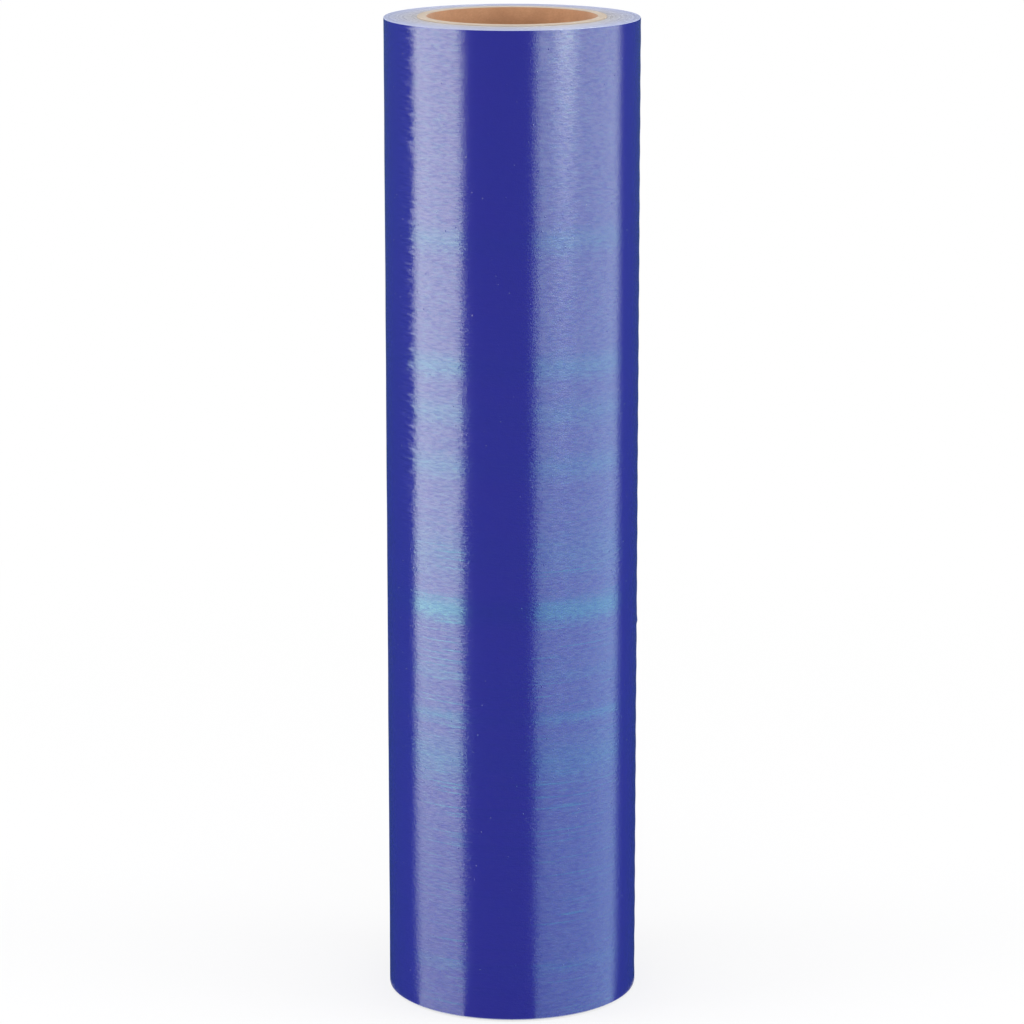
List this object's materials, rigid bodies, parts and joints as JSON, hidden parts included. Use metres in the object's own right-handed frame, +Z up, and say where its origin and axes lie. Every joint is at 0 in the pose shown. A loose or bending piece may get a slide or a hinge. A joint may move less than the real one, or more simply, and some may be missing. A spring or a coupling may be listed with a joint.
{
  "type": "protective film roll",
  "caption": "Tall roll of blue surface protection film wound on an open spiral-wound cardboard tube, standing on its end.",
  "frame": {"origin": "centre of the tube's lower end face, on the surface that the roll stands on", "axes": "+Z up the roll's axis; +X towards the film's free end"},
  "size_m": [0.1144, 0.1142, 0.4514],
  "materials": {
    "cardboard": "unprinted kraft paper plies, matte, with fine fibres and a spiral seam in the bore",
    "blue_film": "smooth glossy blue polyethylene film, tightly wound, with fine streaks around the roll"
  },
  "bodies": {
    "root": {"cardboard_tube": "cardboard", "film_roll": "blue_film"}
  },
  "joints": []
}
